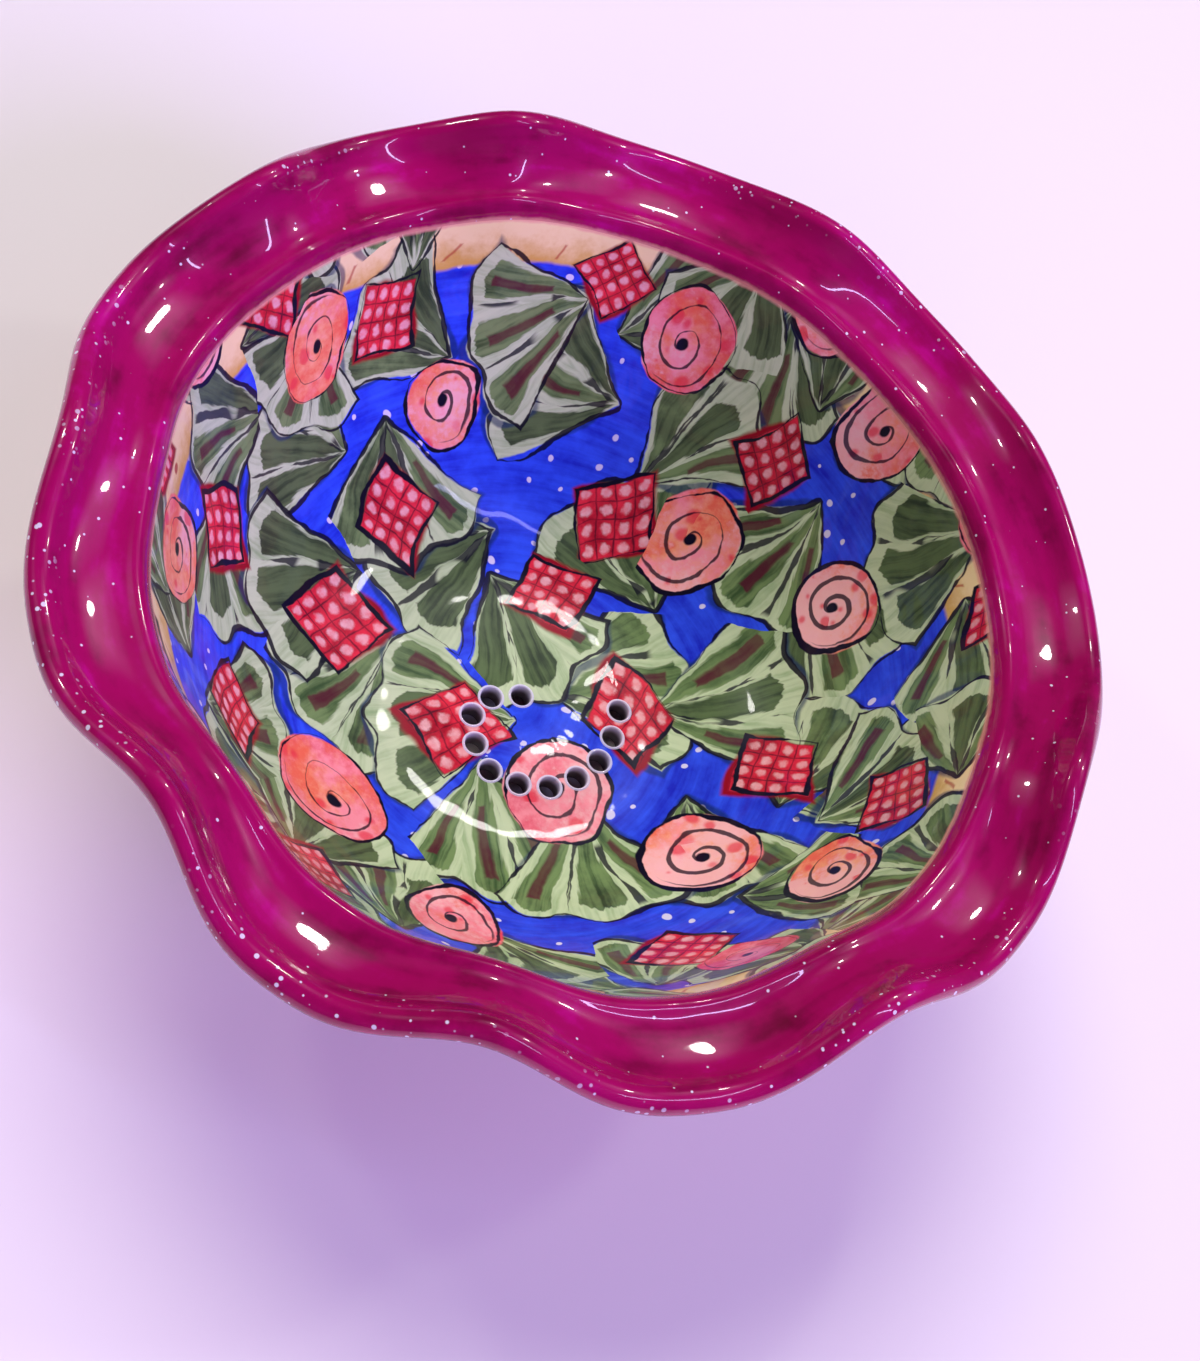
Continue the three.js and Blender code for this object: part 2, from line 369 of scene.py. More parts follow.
class Glaze:
    """A ceramic surface that is mixed and brushed on step by step."""

    def __init__(self, name):
        self.material = bpy.data.materials.new(name)
        self.material.use_nodes = True
        self.tree = self.material.node_tree
        self.shader = self.tree.nodes["Principled BSDF"]
        place = self.node("ShaderNodeTexCoord").outputs["Object"]
        split = self.node("ShaderNodeSeparateXYZ")
        self.tree.links.new(place, split.inputs[0])
        self.place = Signal(self, place)
        self.x, self.y, self.z = (Signal(self, split.outputs[axis]) for axis in "XYZ")
        self.radius = self.length(self.x, self.y)
        self.turn = self.sum("ARCTAN2", self.y, self.x) / (2 * math.pi)

    def node(self, kind, **settings):
        """A new node with its settings."""
        made = self.tree.nodes.new(kind)
        for name, value in settings.items():
            setattr(made, name, value)
        return made

    def feed(self, socket, value):
        """Links a signal to a socket, or sets a constant on it."""
        if isinstance(value, Signal):
            self.tree.links.new(value.socket, socket)
        else:
            socket.default_value = value

    def sum(self, operation, *values):
        """The result of one step of arithmetic."""
        made = self.node("ShaderNodeMath", operation=operation)
        for socket, value in zip(made.inputs, values):
            self.feed(socket, value)
        return Signal(self, made.outputs[0])

    def length(self, across, along):
        """Length of a way across and along."""
        return self.sum("SQRT", across * across + along * along)

    def vector(self, x, y, z=0.0):
        """A vector from its three parts."""
        made = self.node("ShaderNodeCombineXYZ")
        for socket, value in zip(made.inputs, (x, y, z)):
            self.feed(socket, value)
        return Signal(self, made.outputs[0])

    def channels(self, colour):
        """The three parts of a colour."""
        made = self.node("ShaderNodeSeparateColor")
        self.feed(made.inputs[0], colour)
        return [Signal(self, made.outputs[index]) for index in range(3)]

    def attribute(self, name):
        """A value that the points of the clay carry."""
        made = self.node("ShaderNodeAttribute", attribute_name=name)
        return Signal(self, made.outputs["Fac"])

    def soft_noise(self, vector, scale, detail, roughness):
        """A soft noise with its scale, its detail and its roughness."""
        made = self.node("ShaderNodeTexNoise")
        self.feed(made.inputs["Vector"], vector)
        made.inputs["Scale"].default_value = scale
        made.inputs["Detail"].default_value = detail
        made.inputs["Roughness"].default_value = roughness
        return made

    def cloud(self, vector, scale=1, detail=2.0, roughness=0.5):
        """Soft noise as one value from 0 to 1."""
        return Signal(self, self.soft_noise(vector, scale, detail, roughness).outputs["Fac"])

    def three_clouds(self, vector, scale, detail=2.0, roughness=0.5):
        """Soft noise as three values from 0 to 1, each with its own course."""
        made = self.soft_noise(vector, scale, detail, roughness)
        return self.channels(Signal(self, made.outputs["Color"]))

    def specks(self, spacing, radii, edge):
        """Round specks strewn through the surface at a spacing, each with a radius between two."""
        made = self.node("ShaderNodeTexVoronoi")
        self.feed(made.inputs["Vector"], self.place)
        made.inputs["Scale"].default_value = 1 / spacing
        lot = self.channels(Signal(self, made.outputs["Color"]))[0]
        distance = Signal(self, made.outputs["Distance"]) * spacing
        return self.inside(distance - between(*radii, lot), edge)

    def scatter(self, x, y, spacing, spread):
        """Points strewn on a plane: the way across and up from the nearest, and three random values."""
        made = self.node("ShaderNodeTexVoronoi", voronoi_dimensions="2D")
        self.feed(made.inputs["Vector"], self.vector(x, y))
        made.inputs["Scale"].default_value = 1 / spacing
        made.inputs["Randomness"].default_value = spread
        split = self.node("ShaderNodeSeparateXYZ")
        self.tree.links.new(made.outputs["Position"], split.inputs[0])
        across = x - Signal(self, split.outputs["X"])
        rise = y - Signal(self, split.outputs["Y"])
        return across, rise, self.channels(Signal(self, made.outputs["Color"]))

    def lot(self, value):
        """A random number from 0 to 1 that belongs to a value."""
        made = self.node("ShaderNodeTexWhiteNoise", noise_dimensions="1D")
        self.feed(made.inputs["W"], value)
        return Signal(self, made.outputs["Value"])

    def ramp(self, value, low, high):
        """0 below low, 1 above high, and smooth between; low may lie above high."""
        made = self.node("ShaderNodeMapRange", interpolation_type="SMOOTHSTEP")
        self.feed(made.inputs["Value"], value)
        made.inputs["From Min"].default_value = low
        made.inputs["From Max"].default_value = high
        return Signal(self, made.outputs["Result"])

    def inside(self, distance, soft):
        """1 where a signed distance is below zero, with an edge as wide as the brush leaves it."""
        return self.ramp(distance, soft / 2, -soft / 2)

    def mix(self, under, over, mask):
        """One colour over another, as far as a mask lets it cover."""
        made = self.node("ShaderNodeMix", data_type="RGBA")
        self.feed(made.inputs[0], mask)
        self.feed(made.inputs[6], under)
        self.feed(made.inputs[7], over)
        return Signal(self, made.outputs[2])

    def bump(self, height, distance):
        """Small hills of a surface, up to a distance high."""
        made = self.node("ShaderNodeBump")
        made.inputs["Distance"].default_value = distance
        self.feed(made.inputs["Height"], height)
        return Signal(self, made.outputs["Normal"])

    def fire(self, colour, roughness, specular, coat=0.0, coat_roughness=0.0, normal=None):
        """Sets the finished surface."""
        self.feed(self.shader.inputs["Base Color"], colour)
        self.feed(self.shader.inputs["Roughness"], roughness)
        self.feed(self.shader.inputs["Specular IOR Level"], specular)
        self.feed(self.shader.inputs["Coat Weight"], coat)
        self.feed(self.shader.inputs["Coat Roughness"], coat_roughness)
        if normal is not None:
            self.feed(self.shader.inputs["Normal"], normal)
            self.feed(self.shader.inputs["Coat Normal"], normal)
        return self.material


def tint(red, green, blue):
    """A colour given from 0 to 255, made linear."""
    shade = Color((red / 255, green / 255, blue / 255)).from_srgb_to_scene_linear()
    return (*shade, 1.0)


# Colours of the brush painting, each as a thin and a loaded brush leave it
COBALT = (tint(54, 96, 255), tint(20, 18, 184))
SAGE = (tint(112, 146, 84), tint(46, 78, 38))
CELADON = (tint(200, 224, 174), tint(138, 176, 116))
PINE = (tint(80, 108, 60), tint(26, 46, 26))
CORAL = (tint(255, 156, 164), tint(232, 64, 96))
APRICOT = (tint(255, 186, 134), tint(244, 112, 84))
SCARLET = (tint(236, 50, 72), tint(150, 8, 34))
CREAM = (tint(248, 230, 168), tint(214, 176, 84))
INK = tint(16, 14, 34)
TEAL = tint(18, 46, 92)
PLUM = tint(88, 20, 46)
RUSSET = tint(176, 58, 44)
BLUSH = tint(255, 206, 202)
WHITE_SLIP = tint(226, 228, 246)

OUTLINE = 1.1 * MM
LINE_EDGE = 0.35 * MM
BRUSH_EDGE = 0.7 * MM
WET_EDGE = 1.6 * MM

painted = Glaze("painted_glaze")
along = painted.attribute("along")
bead = painted.attribute("bead")

# The hand wavers: a slow drift and a small tremble of every stroke, and lines that miss the colour a little
DRIFT = 12 * MM
DRIFT_SCALE = 30
TREMBLE = 1.3 * MM
TREMBLE_SCALE = 210
MISS = 5.5 * MM
MISS_SCALE = 55
LIGHT_LINE = 0.15
HEAVY_LINE = 1.7


def swing(share, width):
    """A share from 0 to 1 as a way to one side or the other, over a full width."""
    return (share - 0.5) * width


drift_across, drift_along, drift_line = painted.three_clouds(painted.place, DRIFT_SCALE, 1.0)
tremble_across, tremble_along, tremble_line = painted.three_clouds(painted.place, TREMBLE_SCALE)
waver_across = swing(drift_across, DRIFT) + swing(tremble_across, TREMBLE)
waver_along = swing(drift_along, DRIFT) + swing(tremble_along, TREMBLE)
miss = painted.cloud(painted.place, MISS_SCALE, 1.0)
line_miss = swing(miss, MISS)
pressure = painted.ramp(drift_line * 0.75 + tremble_line * 0.35, 0.4, 0.7)
line_weight = between(LIGHT_LINE, HEAVY_LINE, pressure)

# The brush was more or less loaded from place to place
WASH_SCALE = 90
FINE_WASH_SCALE = 420
wash = painted.cloud(painted.place, WASH_SCALE, 4.0, 0.6)
fine_wash = painted.cloud(painted.place, FINE_WASH_SCALE, 3.0, 0.6)

# The inside of the bowl laid out flat, as the painter turns it under the brush
unrolled = along / (painted.radius + TINY)
flat_x = painted.x * unrolled + waver_across
flat_y = painted.y * unrolled + waver_along


def brushed(colours, load):
    """A colour between its thin and its loaded brush."""
    return painted.mix(*colours, load)


def drawn(distance, width):
    """An ink line along a signed distance of zero, thicker and thinner as the hand pressed."""
    return painted.inside(abs(distance + line_miss) - line_weight * (width / 2), LINE_EDGE)


def turned(across, rise, turns):
    """The same way across and up, seen from a motif that was turned round by a number of turns."""
    cosine = painted.sum("COSINE", turns * (2 * math.pi))
    sine = painted.sum("SINE", turns * (2 * math.pi))
    return across * cosine + rise * sine, rise * cosine - across * sine


# Cobalt ground, brushed round the bowl, with dots of white slip
GROUND_ROUND = 48
GROUND_UP = 420
DOT_SPACING = 14 * MM
DOT_RADII = (0.65 * MM, 1.3 * MM)
FREE_SPREAD = 1.0
ground_brush = painted.vector(painted.x * GROUND_ROUND, painted.y * GROUND_ROUND, along * GROUND_UP)
ground_streaks = painted.cloud(ground_brush, detail=3.0, roughness=0.55)
cobalt = brushed(COBALT, painted.ramp(ground_streaks * 0.5 + wash * 0.6, 0.3, 0.85))
dot_across, dot_rise, dot_lots = painted.scatter(flat_x, flat_y, DOT_SPACING, FREE_SPREAD)
dot = painted.inside(painted.length(dot_across, dot_rise) - between(*DOT_RADII, dot_lots[0]), LINE_EDGE)
cobalt = painted.mix(cobalt, WHITE_SLIP, dot * 0.92)

# The size of a fan, and its proportions as shares of its length or of a fold's width
FAN_LENGTH = 46 * MM
FAN_FOLDS = 3
FOLD_ANGLE = math.radians(29)
FAN_FOOT = 0.54
FAN_END = 0.93
FAN_SCALLOP = 0.035
STROKE_HALVES = (0.27, 0.41)
STROKE_STOPS = (0.05, 0.17)
PLUM_HALF = 0.11
PLUM_MIDDLE = 0.56
PLUM_REACH = 0.24
CREASE_STOP = 0.03

# A fan's brush marks: hairs to the metre, steps that set fans and folds apart, ragged ends and edges
HAIRS_ACROSS = 600
HAIRS_ALONG = 40
FANS_APART = 50
FOLDS_APART = 40
STROKE_RAGS = 3.5 * MM
PLUM_RAGS = 2 * MM
PLUM_EDGE = 0.9 * MM
SHADE_WIDTH = 0.8 * MM
SHADE_EDGE = 1.4 * MM
CREASE_EDGE = 2 * MM


def fan(under, across, rise, lots):
    """A green fan: a teal shade, a pale wash, a loaded stroke on each fold, plum shadows and ink."""
    foot_rise = rise + FAN_FOOT * FAN_LENGTH
    arc = painted.length(across, foot_rise)
    place = painted.sum("ARCTAN2", across, foot_rise) / FOLD_ANGLE + FAN_FOLDS / 2
    number = painted.sum("FLOOR", place)
    middle = place - number - 0.5
    fold_width = arc * FOLD_ANGLE
    off = middle * fold_width
    luck = painted.lot(number + lots[2] * FANS_APART)
    hair = painted.cloud(painted.vector(off * HAIRS_ACROSS, arc * HAIRS_ALONG, luck * FOLDS_APART))
    load = hair * 0.65 + wash * 0.4

    scallop = painted.sum("COSINE", middle * (2 * math.pi)) * FAN_SCALLOP
    end = arc - (scallop + FAN_END) * FAN_LENGTH
    side = (abs(place - FAN_FOLDS / 2) - FAN_FOLDS / 2) * fold_width
    rim = painted.sum("MAXIMUM", end, side)

    stroke_side = abs(off + line_miss * 0.7) - fold_width * between(*STROKE_HALVES, luck)
    stroke_end = end + FAN_LENGTH * between(*STROKE_STOPS, luck)
    stroke_rim = painted.sum("MAXIMUM", stroke_side, stroke_end)
    stroke = painted.inside(stroke_rim + swing(hair, STROKE_RAGS), BRUSH_EDGE)
    dark_load = painted.ramp(load, 0.4, 0.7)
    is_pine = painted.ramp(luck + wash * 0.6, 0.7, 0.9)
    dark = painted.mix(brushed(SAGE, dark_load), brushed(PINE, dark_load), is_pine)
    green = painted.mix(brushed(CELADON, painted.ramp(load, 0.4, 0.85)), dark, stroke * 0.94)

    plum_side = abs(off - line_miss * 0.5) - fold_width * PLUM_HALF
    plum_end = abs(arc - FAN_LENGTH * PLUM_MIDDLE) - FAN_LENGTH * PLUM_REACH
    plum_rim = painted.sum("MAXIMUM", plum_side, plum_end)
    plum = painted.inside(plum_rim + swing(hair, PLUM_RAGS), PLUM_EDGE) * painted.ramp(luck, 0.5, 0.45)
    green = painted.mix(green, PLUM, plum * (0.55 + wash * 0.5))

    shade = painted.inside(rim - line_miss * 1.6 - SHADE_WIDTH, SHADE_EDGE)
    over = painted.mix(under, TEAL, shade * (0.45 + wash * 0.5))
    over = painted.mix(over, green, painted.inside(rim, BRUSH_EDGE))
    crease = drawn(fold_width / 2 - abs(off), OUTLINE * 1.1)
    crease = crease * painted.inside(rim + FAN_LENGTH * CREASE_STOP, CREASE_EDGE)
    over = painted.mix(over, INK, crease * painted.ramp(miss, 0.36, 0.42) * 0.9)
    return painted.mix(over, INK, drawn(rim, OUTLINE) * 0.95)


# The size of a roundel, its proportions as shares of its radius, and the red dabs on it
ROUNDEL_RADIUS = 15.5 * MM
ROUNDEL_SIZES = (0.86, 1.12)
SPIRAL_PITCH = 0.42
SPIRAL_HALF = 0.45 * OUTLINE
SPIRAL_STOP = 0.14
EYE_RADIUS = 0.13
DAB_SPACING = 7 * MM
DAB_RADIUS = 2.6 * MM


def roundel(under, across, rise, lots):
    """A coral disc with red dabs, an ink spiral and a round eye."""
    pitch = ROUNDEL_RADIUS * SPIRAL_PITCH
    reach = painted.length(across, rise)
    rim = reach - ROUNDEL_RADIUS * between(*ROUNDEL_SIZES, lots[1])
    load = painted.ramp(wash * 0.9 + fine_wash * 0.35 + reach / ROUNDEL_RADIUS * 0.15, 0.56, 0.9)
    warm = painted.ramp(lots[2] * 0.6 + wash * 1.4, 0.8, 1.2)
    disc = painted.mix(brushed(CORAL, load), brushed(APRICOT, load), warm)
    disc = painted.mix(disc, BLUSH, painted.ramp(drift_line + fine_wash * 0.4, 0.64, 0.82) * 0.75)

    dab_across, dab_rise, dab_lots = painted.scatter(flat_x, flat_y, DAB_SPACING, FREE_SPREAD)
    dab = painted.inside(painted.length(dab_across, dab_rise) - dab_lots[0] * DAB_RADIUS, WET_EDGE)
    disc = painted.mix(disc, SCARLET[0], dab * painted.ramp(dab_lots[1], 0.4, 0.6) * 0.75)
    over = painted.mix(under, disc, painted.inside(rim, BRUSH_EDGE))

    coil = painted.sum("ARCTAN2", rise, across) / (2 * math.pi) + reach / pitch
    groove = abs(painted.sum("FRACT", coil) - 0.5) * pitch
    spiral = painted.inside(groove - line_weight * SPIRAL_HALF, LINE_EDGE)
    spiral = spiral * painted.inside(rim + ROUNDEL_RADIUS * SPIRAL_STOP, BRUSH_EDGE)
    over = painted.mix(over, INK, spiral * 0.9)
    over = painted.mix(over, INK, drawn(rim, OUTLINE))
    return painted.mix(over, INK, painted.inside(reach - ROUNDEL_RADIUS * EYE_RADIUS, BRUSH_EDGE))


# A lozenge, and the pale dabs in its cells as shares of a cell
LOZENGE_HALF_WIDTH = 14 * MM
LOZENGE_HALF_HEIGHT = 17 * MM
LOZENGE_SLANT = 0.75
LOZENGE_CELLS = 2
LOZENGE_BLEED = 0.6 * MM
CELL_DABS = (0.1, 0.46)
CELL_DAB_EDGE = 0.2


def lozenge(under, across, rise):
    """A scarlet diamond in a harlequin grid, with a pale dab in each cell."""
    u = across / LOZENGE_HALF_WIDTH
    v = rise / LOZENGE_HALF_HEIGHT
    rim = (abs(u) + abs(v) - 1) * (LOZENGE_HALF_WIDTH * LOZENGE_SLANT)
    cell_u = painted.sum("FRACT", (u + v) * LOZENGE_CELLS) - 0.5
    cell_v = painted.sum("FRACT", (u - v) * LOZENGE_CELLS) - 0.5
    grid = painted.sum("MAXIMUM", abs(cell_u), abs(cell_v))
    dab = painted.inside(painted.length(cell_u, cell_v) - between(*CELL_DABS, fine_wash), CELL_DAB_EDGE)
    scarlet = brushed(SCARLET, painted.ramp(wash * 0.8 + fine_wash * 0.4, 0.4, 0.85))
    scarlet = painted.mix(scarlet, BLUSH, dab * (0.1 + fine_wash))
    scarlet = painted.mix(scarlet, INK, painted.ramp(grid - tremble_line * 0.12, 0.36, 0.46) * 0.8)
    over = painted.mix(under, SCARLET[1], painted.inside(rim - line_miss - LOZENGE_BLEED, WET_EDGE))
    over = painted.mix(over, scarlet, painted.inside(rim, BRUSH_EDGE))
    return painted.mix(over, INK, drawn(rim, OUTLINE))


# Cream band below the throat, with russet dots and short strokes by turns
BAND_START = 139 * MM
BAND_FADE = 45
BAND_MARKS = 42
MARK_RISE = 3 * MM
MARK_RADII = (0.6 * MM, 1.5 * MM)
MARK_HALF = 0.45 * MM
MARK_REACH = 2.4 * MM
MARK_LEAN = 0.6
band = BAND_START - along - swing(drift_along, DRIFT / 2) - swing(tremble_along, TREMBLE)
cream = brushed(CREAM, painted.ramp(wash * 0.7 + fine_wash * 0.3 + band * BAND_FADE, 0.0, 0.55))
mark_place = painted.turn * BAND_MARKS + 2 * BAND_MARKS
mark_number = painted.sum("FLOOR", mark_place)
mark_lot = painted.lot(mark_number)
mark_width = painted.radius * (2 * math.pi / BAND_MARKS)
mark_across = swing(painted.sum("FRACT", mark_place), mark_width) + waver_across
mark_rise = along - BAND_START - between(MARK_RISE, 2 * MARK_RISE, mark_lot)
mark_dot = painted.length(mark_across, mark_rise) - between(*MARK_RADII, mark_lot)
mark_side = abs(mark_across + mark_rise * MARK_LEAN) - MARK_HALF
mark_stroke = painted.sum("MAXIMUM", mark_side, abs(mark_rise) - MARK_REACH)
odd = painted.sum("FLOORED_MODULO", mark_number, 2)
cream = painted.mix(cream, RUSSET, painted.inside(mark_dot, BRUSH_EDGE) * odd * 0.9)
cream = painted.mix(cream, RUSSET, painted.inside(mark_stroke, BRUSH_EDGE) * (1 - odd) * 0.7)
picture = painted.mix(cobalt, cream, painted.inside(band, WET_EDGE))

# Two layers of fans strewn over the cobalt, then roundels and lozenges, each turned its own way
EVEN_SPREAD = 0.6
FAN_SPACING = 56 * MM
FAN_SHIFTS = ((5 * MM, -6 * MM), (534 * MM, 205 * MM))
MOTIF_SPACING = 46 * MM
MOTIF_SHIFT = (310 * MM, 170 * MM)
ROUNDEL_SHARE = 0.5
for shift_x, shift_y in FAN_SHIFTS:
    across, rise, lots = painted.scatter(flat_x + shift_x, flat_y + shift_y, FAN_SPACING, EVEN_SPREAD)
    picture = fan(picture, *turned(across, rise, lots[0]), lots)
shift_x, shift_y = MOTIF_SHIFT
across, rise, lots = painted.scatter(flat_x + shift_x, flat_y + shift_y, MOTIF_SPACING, EVEN_SPREAD)
across, rise = turned(across, rise, lots[0])
is_lozenge = painted.sum("GREATER_THAN", lots[0], ROUNDEL_SHARE)
picture = painted.mix(roundel(picture, across, rise, lots), lozenge(picture, across, rise), is_lozenge)

# The clear glaze breaks to a pale line along the throat and is thin on the beads; the bores get painted
# shade
BROKEN_GLAZE = tint(234, 166, 146)
# Bores: bare clay, painted much darker than the buff foot as painted shade inside the holes
BORE_CLAY_AND_SHADE = tint(104, 90, 92)
BREAK_WIDTH = 0.7 * MM
BREAK_EDGE = 1.1 * MM
BREAK_RAGS = 1.2 * MM
break_rim = throat_place - BREAK_WIDTH - along + swing(tremble_along, BREAK_RAGS)
picture = painted.mix(picture, BROKEN_GLAZE, painted.inside(break_rim, BREAK_EDGE) * 0.75)
picture = painted.mix(picture, WHITE_SLIP, painted.ramp(bead, 0.25, 0.85) * (0.72 + wash * 0.3))
picture = painted.mix(picture, BORE_CLAY_AND_SHADE, painted.ramp(bead, ON_BEAD, (ON_BEAD + IN_BORE) / 2) * 0.9)

RIPPLE_SCALE = 60
RIPPLE_HEIGHT = 0.35 * MM
ripple = painted.cloud(painted.place, RIPPLE_SCALE, 1.0)
painted_material = painted.fire(
    picture, roughness=0.3, specular=0.15, coat=0.3, coat_roughness=0.03,
    normal=painted.bump(ripple, RIPPLE_HEIGHT),
)

# Raspberry glaze of the rim and the outside, streaked where it ran and cloudy where it pooled
RASPBERRY = tint(157, 2, 86)
RASPBERRY_THIN = tint(186, 8, 130)
RASPBERRY_DEEP = tint(102, 0, 46)
STREAKS_ROUND = 5
STREAKS_OUT = 150
STREAKS_UP = 110
POOL_SCALE = 28
MOTTLE_SCALE = 240
raspberry = Glaze("rim_glaze")
rim_along = raspberry.attribute("along")
around_x = raspberry.sum("COSINE", raspberry.turn * (2 * math.pi))
around_y = raspberry.sum("SINE", raspberry.turn * (2 * math.pi))
run = raspberry.radius * STREAKS_OUT + raspberry.z * STREAKS_UP
streak_place = raspberry.vector(around_x * STREAKS_ROUND, around_y * STREAKS_ROUND, run)
streaks = raspberry.cloud(streak_place, detail=3.0)
pools = raspberry.cloud(raspberry.place, POOL_SCALE, 3.0, 0.55)
mottle = raspberry.cloud(raspberry.place, MOTTLE_SCALE, 3.0, 0.6)
depth = streaks * 0.5 + pools * 0.5 + mottle * 0.18
rim_colour = raspberry.mix(RASPBERRY, RASPBERRY_DEEP, raspberry.ramp(depth, 0.56, 0.84))
rim_colour = raspberry.mix(rim_colour, RASPBERRY_THIN, raspberry.ramp(depth, 0.56, 0.38) * 0.9)

# The raspberry is thin along the throat, where the pale glaze shows through
THIN_START = 0.2 * MM
THIN_END = 1.3 * MM
THIN_DROP = 2 * MM
thin = raspberry.ramp(rim_along + swing(mottle, BREAK_RAGS), THIN_END, THIN_START)
thin = thin * raspberry.ramp(raspberry.z, throat_height - THIN_DROP, throat_height - THIN_DROP / 2)
rim_colour = raspberry.mix(rim_colour, BROKEN_GLAZE, thin * 0.7)

# White specks in the glaze, in thick patches along the lip
SPECK_SPACING = 4 * MM
SPECK_RADII = (0.12 * MM, 0.42 * MM)
LIP_SPECK_SPACING = 2.4 * MM
LIP_SPECK_RADII = (0.1 * MM, 0.62 * MM)
SPECK_EDGE = 0.2 * MM
PATCH_SCALE = 16
speck = raspberry.specks(SPECK_SPACING, SPECK_RADII, SPECK_EDGE)
lip_speck = raspberry.specks(LIP_SPECK_SPACING, LIP_SPECK_RADII, SPECK_EDGE)
patches = raspberry.ramp(raspberry.cloud(raspberry.place, PATCH_SCALE, 1.0), 0.42, 0.56)
lip_zone = raspberry.attribute("bead") * patches
speck = raspberry.sum("MAXIMUM", speck, lip_speck * lip_zone)
rim_colour = raspberry.mix(rim_colour, WHITE_SLIP, speck * 0.85)

RIM_RIPPLE_SCALE = 55
RIM_RIPPLE_HEIGHT = 0.4 * MM
rim_ripple = raspberry.cloud(raspberry.place, RIM_RIPPLE_SCALE, 1.0)
raspberry_material = raspberry.fire(
    rim_colour, roughness=0.25, specular=0.15, coat=1.0, coat_roughness=0.03,
    normal=raspberry.bump(rim_ripple + streaks * 0.06, RIM_RIPPLE_HEIGHT),
)

basin = basin_clay.fired("basin_wall", (painted_material, raspberry_material))
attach(basin, "root")
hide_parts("basin")

# Ruffled rim
# A broad flange turned out from the throat and pinched by hand into nine waves, with a rolled lip.
# It is one with the wall, and its raspberry glaze runs over the lip and down the outside.
RIM_RISE = 6 * MM
COLLAR_WIDTH = 6.8 * MM
COLLAR_CROWN = 6.2 * MM
GROOVE_RISE = 2.8 * MM
GROOVE_DIP = 38
GROOVE_CLIMB = 9
FLANGE_SWEEP = 12 * MM
LIP_SWEEP = 6 * MM
COLLAR_STEPS = 14
FLANGE_STEPS = 28
LIP_STEPS = 18

groove = throat + in_section(COLLAR_WIDTH, GROOVE_RISE)
lip_middle = throat + in_section(RIM_WIDTH - lip_radius, RIM_RISE)
lip_start = lip_middle + heading(LIP_SLOPE + 90) * lip_radius
collar = sweep(
    throat, wall_heading, COLLAR_CROWN, groove, heading(-GROOVE_DIP), COLLAR_WIDTH / 2, COLLAR_STEPS
)
flange = sweep(
    groove, heading(GROOVE_CLIMB), FLANGE_SWEEP, lip_start, heading(LIP_SLOPE), LIP_SWEEP, FLANGE_STEPS
)
lip = []
for step in range(1, LIP_STEPS):
    lip.append(lip_middle + heading(LIP_SLOPE + 90 - 180 * step / LIP_STEPS) * lip_radius)
flange_outward = outward_of(flange)
flange_under = []
for step, point in enumerate(flange):
    thickness = between(WALL_THICKNESS, LIP_THICKNESS, step / FLANGE_STEPS)
    flange_under.append(point + flange_outward[step] * thickness)

# A fillet below the flange: it grows out of the wall some steps below the throat
ROOT_DROP = 8
ROOT_INSET = 0.1
ROOT_SWEEP = 7 * MM
FILLET_REACH = 10
FILLET_SWEEP = 6 * MM
FILLET_STEPS = 12
root = between(wall_outside[-1 - ROOT_DROP], wall_inside[-1 - ROOT_DROP], ROOT_INSET)
root_heading = (wall_outside[-ROOT_DROP] - wall_outside[-1 - ROOT_DROP]).normalized()
fillet_end = flange_under[FILLET_REACH]
fillet_heading = (flange_under[FILLET_REACH + 1] - flange_under[FILLET_REACH - 1]).normalized()
fillet = sweep(root, root_heading, ROOT_SWEEP, fillet_end, fillet_heading, FILLET_SWEEP, FILLET_STEPS)

# Glaze fills the crease where the collar meets the flange
CREASE_STEPS = 4
collar_end = collar[-1 - CREASE_STEPS]
collar_heading = (collar[-CREASE_STEPS] - collar_end).normalized()
flange_start = flange[CREASE_STEPS]
flange_heading = (flange_start - flange[CREASE_STEPS - 1]).normalized()
crease_sweep = (flange_start - collar_end).length / 3
crease = sweep(
    collar_end, collar_heading, crease_sweep, flange_start, flange_heading, crease_sweep, 2 * CREASE_STEPS
)

# The whole section of the rim: over the collar, the crease, the flange and the lip, and back below
upper_line = collar[: -1 - CREASE_STEPS] + crease + flange[CREASE_STEPS + 1 :]
under_line = flange_under[FILLET_REACH + 1 :][::-1]
rim_line = upper_line + lip + under_line + fillet[::-1]
rim_shares = [pinch_share(point) for point in upper_line] + [1.0] * len(lip)
rim_shares += [pinch_share(point) for point in flange[FILLET_REACH + 1 :]][::-1]
root_share = wall_shares[-1 - ROOT_DROP]
fillet_share = pinch_share(flange[FILLET_REACH])
for step in range(FILLET_STEPS, -1, -1):
    rim_shares.append(between(root_share, fillet_share, step / FILLET_STEPS))

# The lip is where the specks are thick, and the hand left the flange a little uneven
LIP_ZONE = 1.2
UNEVENNESS = 0.5 * MM
UNEVEN_SPACING = 30 * MM
UNEVEN_START = 2 * MM
rim_clay = Clay()
rim_clay.turn(rim_line, rim_shares, lengths_along(rim_line), closed=True)
lip_reach = lip_middle.x - LIP_ZONE * lip_radius
for vert in rim_clay.mesh.verts:
    vert[rim_clay.bead] = min(max((math.hypot(vert.co.x, vert.co.y) - lip_reach) / lip_radius, 0), 1)
rim_clay.ruffle()
rim_clay.unevenness(UNEVENNESS, UNEVEN_SPACING, throat_height + UNEVEN_START)
rim = rim_clay.fired("ruffled_flange", (raspberry_material,))
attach(rim, "root")
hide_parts("ruffled_rim")

